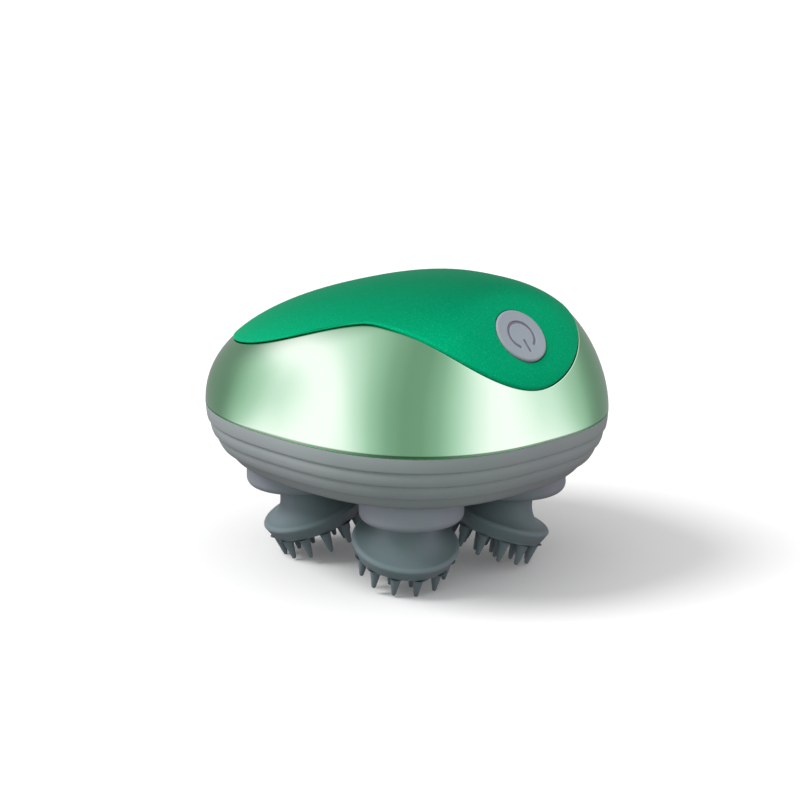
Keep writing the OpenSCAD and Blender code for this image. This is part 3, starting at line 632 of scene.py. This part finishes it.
def bump(tree, value, strength, distance):
    node = tree.nodes.new("ShaderNodeBump")
    node.inputs["Strength"].default_value = strength
    node.inputs["Distance"].default_value = distance * MM
    feed(tree, node.inputs["Height"], value)
    feed(tree, tree.nodes["Principled BSDF"].inputs["Normal"], node.outputs["Normal"])


def vary(mat, scale, tones, roughness, grain, strength, distance):
    """Slight blotches of colour and gloss over a surface, and its fine grain."""
    tree = mat.node_tree
    bsdf = tree.nodes["Principled BSDF"]
    colour = np.array(bsdf.inputs["Base Color"].default_value[:3])
    stops = [(0.3, colour * tones[0]), (0.7, colour * tones[1])]
    feed(tree, bsdf.inputs["Base Color"], ramp(tree, noise(tree, scale), stops))
    gloss = map_range(tree, noise(tree, scale * 3), (0, 1), roughness)
    feed(tree, bsdf.inputs["Roughness"], gloss)
    bump(tree, noise(tree, grain, detail=3.0, rough=0.6), strength, distance)


def shell_metal():
    mat = material("shell_metal", (0.32, 0.66, 0.39), 0.12, 1.0)
    vary(mat, 25, (0.97, 1.02), (0.09, 0.13), grain=2600, strength=0.02, distance=0.02)
    return mat


def pearl_paint():
    """Deep green with fine bright flakes, and painted sheen and shade: lighter on slopes, darker
    on top.
    """
    flake_scale, flake_bump, flake_h = 7000, 0.06, 0.02
    flake = [(0.0, (0.0, 0.28, 0.12)), (0.7, (0.0, 0.32, 0.14)), (1.0, (0.02, 0.43, 0.22))]
    # painted sheen and shade: colour factors by the surface's tilt, lighter on slopes and darker
    # on top
    sheen_by_tilt = [(0.0, (1.3,) * 3), (0.4, (1.1,) * 3), (0.75, (0.8,) * 3), (1.0, (0.6,) * 3)]
    tint = (0.0, 0.95, 0.6, 1)
    mat = material("pearl_green", (0.0, 0.25, 0.105), 0.42, IOR=1.08, Specular_Tint=tint)
    tree = mat.node_tree
    coord = tree.nodes.new("ShaderNodeTexCoord")
    flakes = tree.nodes.new("ShaderNodeTexVoronoi")
    flakes.inputs["Scale"].default_value = flake_scale
    feed(tree, flakes.inputs["Vector"], coord.outputs["Object"])
    grey = tree.nodes.new("ShaderNodeRGBToBW")
    feed(tree, grey.inputs["Color"], flakes.outputs["Color"])
    surface = tree.nodes.new("ShaderNodeNewGeometry")
    upward = separate(tree, surface.outputs["Normal"])["Z"]
    fine = ramp(tree, grey.outputs["Val"], flake)
    # painted sheen and shade, multiplied into the flakes' colour
    painted_sheen_and_shade = ramp(tree, map_range(tree, upward, (0.5, 1), (0, 1)), sheen_by_tilt)
    tone = mix_colour(tree, 1.0, fine, painted_sheen_and_shade, "MULTIPLY")
    feed(tree, tree.nodes["Principled BSDF"].inputs["Base Color"], tone)
    bump(tree, grey.outputs["Val"], flake_bump, flake_h)
    return mat


def moulded(name, colour, rough, grain=1800, strength=0.18, **inputs):
    mat = material(name, colour, rough, **inputs)
    vary(mat, 40, (0.94, 1.05), (rough - 0.04, rough + 0.05), grain, strength, distance=0.04)
    return mat


def brushed(name, colour, rough):
    mat = material(name, colour, rough, 1.0)
    roughness = (rough - 0.05, rough + 0.08)
    vary(mat, 60, (0.92, 1.04), roughness, grain=1500, strength=0.1, distance=0.03)
    return mat


# Gloss of the grey parts; its green tint takes the room's pink cast off them
GREY_GLOSS = {"Specular_IOR_Level": 0.3, "Specular_Tint": (0.5, 1.0, 0.65, 1)}

MATERIALS = {"metallic_green": shell_metal(), "pearl_green": pearl_paint()}
for slot, colour, rough, extra in (
    ("base_plastic", (0.295, 0.345, 0.34), 0.45, GREY_GLOSS),
    ("black_rubber", (0.02, 0.02, 0.02), 0.7, {}),
    ("button_grey", (0.31, 0.36, 0.40), 0.45, GREY_GLOSS),
    ("white_rubber", (0.62, 0.62, 0.58), 0.6, {}),
    ("black_plastic", (0.03, 0.03, 0.032), 0.45, {}),
    ("board_green", (0.02, 0.11, 0.05), 0.3, {}),
    ("collar_grey", (0.27, 0.31, 0.34), 0.5, GREY_GLOSS),
    ("head_silicone", (0.175, 0.23, 0.245), 0.52, {"grain": 2400, "strength": 0.12, **GREY_GLOSS}),
    ("gear_plastic", (0.72, 0.70, 0.60), 0.4, {}),
    ("inner_plastic", (0.10, 0.10, 0.11), 0.5, {}),
    ("battery_wrap", (0.03, 0.10, 0.32), 0.3, {}),
):
    MATERIALS[slot] = moulded(slot, colour, rough, **extra)
for slot, colour, rough in (
    ("steel", (0.6, 0.6, 0.62), 0.28),
    ("spring_steel", (0.25, 0.25, 0.27), 0.35),
    ("bronze", (0.55, 0.36, 0.16), 0.35),
    ("motor_can", (0.62, 0.63, 0.65), 0.25),
    ("gold", (0.83, 0.62, 0.26), 0.22),
    ("black_screw", (0.08, 0.08, 0.085), 0.35),
):
    MATERIALS[slot] = brushed(slot, colour, rough)
SIGN = moulded("sign_grey", (0.16, 0.165, 0.20), 0.5)


# ---- Pieces ----

def dress(obj, slot, body, *nodes):
    """Give a piece its slot's material and its body, and hide the CAD nodes it stands for."""
    obj.data.materials.clear()
    obj.data.materials.append(MATERIALS[slot])
    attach(obj, body)
    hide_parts(*nodes)


dress(top_cover(), "pearl_green", "body", "top_cover")
dress(top_shell(), "metallic_green", "body", "top_shell")
dress(base(), "base_plastic", "body", "base_housing")
cap = power_button()
marks = [p.material_index for p in cap.data.polygons]
dress(cap, "button_grey", "button", "power_button")
cap.data.materials.append(SIGN)
cap.data.polygons.foreach_set("material_index", marks)
for i in (1, 2, 3, 4):
    dress(collar(i), "collar_grey", "head_%d" % i, "collar_%d" % i)
    dress(massage_head(i), "head_silicone", "head_%d" % i, "massage_head_%d" % i)

for entry in frame["record"]["subparts"]:
    for slot in frame["nodes"][entry["node"]].material_slots:
        slot.material = MATERIALS[entry["material_slot"]]


# ---- Floor, surroundings, lamp and camera ----

CAMERA_TURN = math.radians(46.2)
CAMERA_TILT = math.radians(15.0)


def floor():
    """White floor to the camera, a grey one to bounced light, and none from below."""
    size, seen_level, glow_level, bounced_level = 3.0, 0.92, 0.06, 0.26
    corners = [(-size, -size, 0), (size, -size, 0), (size, size, 0), (-size, size, 0)]
    mesh = bpy.data.meshes.new("floor")
    mesh.from_pydata(corners, [], [(0, 1, 2, 3)])
    obj = bpy.data.objects.new("floor", mesh)
    bpy.context.collection.objects.link(obj)
    mat = bpy.data.materials.new("floor")
    mat.use_nodes = True
    tree = mat.node_tree
    tree.nodes.clear()
    glow = tree.nodes.new("ShaderNodeEmission")
    glow.inputs["Strength"].default_value = glow_level
    seen = tree.nodes.new("ShaderNodeAddShader")
    feed(tree, seen.inputs[0], diffuse(tree, seen_level))
    feed(tree, seen.inputs[1], glow.outputs[0])
    path = tree.nodes.new("ShaderNodeLightPath")
    bounced = diffuse(tree, bounced_level)
    above = mix_shader(tree, path.outputs["Is Camera Ray"], bounced, seen.outputs[0])
    side = tree.nodes.new("ShaderNodeNewGeometry")
    clear = tree.nodes.new("ShaderNodeBsdfTransparent")
    one_way = mix_shader(tree, side.outputs["Backfacing"], above, clear.outputs[0])
    out = tree.nodes.new("ShaderNodeOutputMaterial")
    feed(tree, out.inputs["Surface"], one_way)
    mesh.materials.append(mat)
    obj.visible_glossy = False


# Light of the soft boxes and the gaps between them, from the left to the right of the shell.
# These levels were set against the photograph's upright bands of light and dark.
BAND_LEVELS = [
    (-1, 0.15), (-0.92, 0.24), (-0.855, 0.38), (-0.8, 0.85), (-0.76, 1.3), (-0.72, 2.3),
    (-0.67, 2.9), (-0.56, 2.95), (-0.5, 2.5), (-0.447, 1.85), (-0.355, 1.05), (-0.246, 0.62),
    (-0.132, 0.48), (0, 0.5), (0.132, 0.72), (0.263, 1.3), (0.39, 2.2), (0.5, 2.9), (0.6, 3.0),
    (0.67, 2.5), (0.72, 1.8), (0.767, 1.1), (0.837, 0.6), (0.92, 0.33), (1, 0.2),
]


def band_light(level):
    """Colour of a band: the brighter it is, the less green and blue it has."""
    plain_level, green_loss, blue_loss = 0.48, 0.33, 0.09
    over = level - plain_level
    return (level, level / (1 + green_loss * over), level / (1 + blue_loss * over))


def surroundings():
    """Studio: upright bands in the shell, an even light on the rest, and white to the camera.

    The bands hang on the half vector between a mirrored direction and the photograph's view.
    """
    outer_x, outer_shift = (0.45, 0.65), 0.2
    low_z, low_strength = (-0.6, -0.3), 0.25
    behind_y, behind_level = (0.3, 0.75), 0.36
    even_level, even_facing, even_raised = 0.64, -0.34, 0.1
    world = bpy.data.worlds.new("studio")
    bpy.context.scene.world = world
    world.use_nodes = True
    tree = world.node_tree
    tree.nodes.clear()

    coord = tree.nodes.new("ShaderNodeTexCoord")
    turn = tree.nodes.new("ShaderNodeVectorRotate")
    turn.rotation_type = "Z_AXIS"
    turn.inputs["Angle"].default_value = -CAMERA_TURN
    feed(tree, turn.inputs["Vector"], coord.outputs["Generated"])
    direction = separate(tree, turn.outputs["Vector"])

    middle = tree.nodes.new("ShaderNodeVectorMath")
    middle.inputs[1].default_value = (0, -math.cos(CAMERA_TILT), math.sin(CAMERA_TILT))
    feed(tree, middle.inputs[0], turn.outputs["Vector"])
    unit = tree.nodes.new("ShaderNodeVectorMath")
    unit.operation = "NORMALIZE"
    feed(tree, unit.inputs[0], middle.outputs[0])
    across = separate(tree, unit.outputs[0])["X"]

    # near the shell's two ends the bands lean with height
    width = math_node(tree, "ABSOLUTE", across)
    outer = map_range(tree, width, outer_x, (0, outer_shift), smooth=True)
    shift = math_node(tree, "MULTIPLY", outer, direction["Z"])
    shift = math_node(tree, "MULTIPLY", shift, math_node(tree, "SIGN", across))
    part = map_range(tree, math_node(tree, "ADD", across, shift), (-1, 1), (0, 1))
    stops = [(place / 2 + 0.5, band_light(level)) for place, level in BAND_LEVELS]
    bands = ramp(tree, part, stops)

    low = map_range(tree, direction["Z"], low_z, (low_strength, 1), smooth=True)
    behind = map_range(tree, direction["Y"], behind_y, (0, 1), smooth=True)
    plain = mix_colour(tree, behind, bands, (behind_level, behind_level, behind_level, 1))
    mirrored = background(tree, plain, low)

    facing = math_node(tree, "MULTIPLY", direction["Y"], even_facing)
    raised = math_node(tree, "MULTIPLY", direction["Z"], even_raised)
    level = math_node(tree, "ADD", math_node(tree, "ADD", facing, raised), even_level)
    even = background(tree, (1, 1, 1, 1), level)
    white = background(tree, (1, 1, 1, 1))

    path = tree.nodes.new("ShaderNodeLightPath")
    room = mix_shader(tree, path.outputs["Is Glossy Ray"], even, mirrored)
    out = tree.nodes.new("ShaderNodeOutputWorld")
    seen = mix_shader(tree, path.outputs["Is Camera Ray"], room, white)
    feed(tree, out.inputs["Surface"], seen)


def lamp():
    """Soft key light from the left, a little on the camera's side."""
    turn, height = CAMERA_TURN - math.radians(90 + 76), math.radians(48)
    data = bpy.data.lights.new("key", "SUN")
    data.energy = 2.1
    data.angle = math.radians(28)
    obj = bpy.data.objects.new("key", data)
    bpy.context.collection.objects.link(obj)
    flat = math.cos(height)
    towards = Vector((flat * math.cos(turn), flat * math.sin(turn), math.sin(height)))
    obj.rotation_mode = "QUATERNION"
    obj.rotation_quaternion = towards.to_track_quat("Z", "Y")
    obj.visible_glossy = False


def camera():
    """Camera of the photograph, as fitted to the object's outlines."""
    to_right, to_up, back = -1.5, 42.1, 665
    data = bpy.data.cameras.new("camera")
    data.sensor_width = 36
    data.lens = 111.06
    data.clip_start, data.clip_end = 0.01, 50
    obj = bpy.data.objects.new("camera", data)
    bpy.context.collection.objects.link(obj)
    c, s = math.cos(CAMERA_TURN), math.sin(CAMERA_TURN)
    flat = math.cos(CAMERA_TILT)
    right = Vector((c, s, 0))
    ahead = Vector((-s * flat, c * flat, -math.sin(CAMERA_TILT)))
    up = right.cross(ahead)
    place = (right * to_right + up * to_up - ahead * back) * MM
    rotation = Matrix((right, up, -ahead)).transposed().to_4x4()
    obj.matrix_world = Matrix.Translation(place) @ rotation
    bpy.context.scene.camera = obj


floor()
surroundings()
lamp()
camera()
bpy.context.scene.view_settings.view_transform = "Standard"
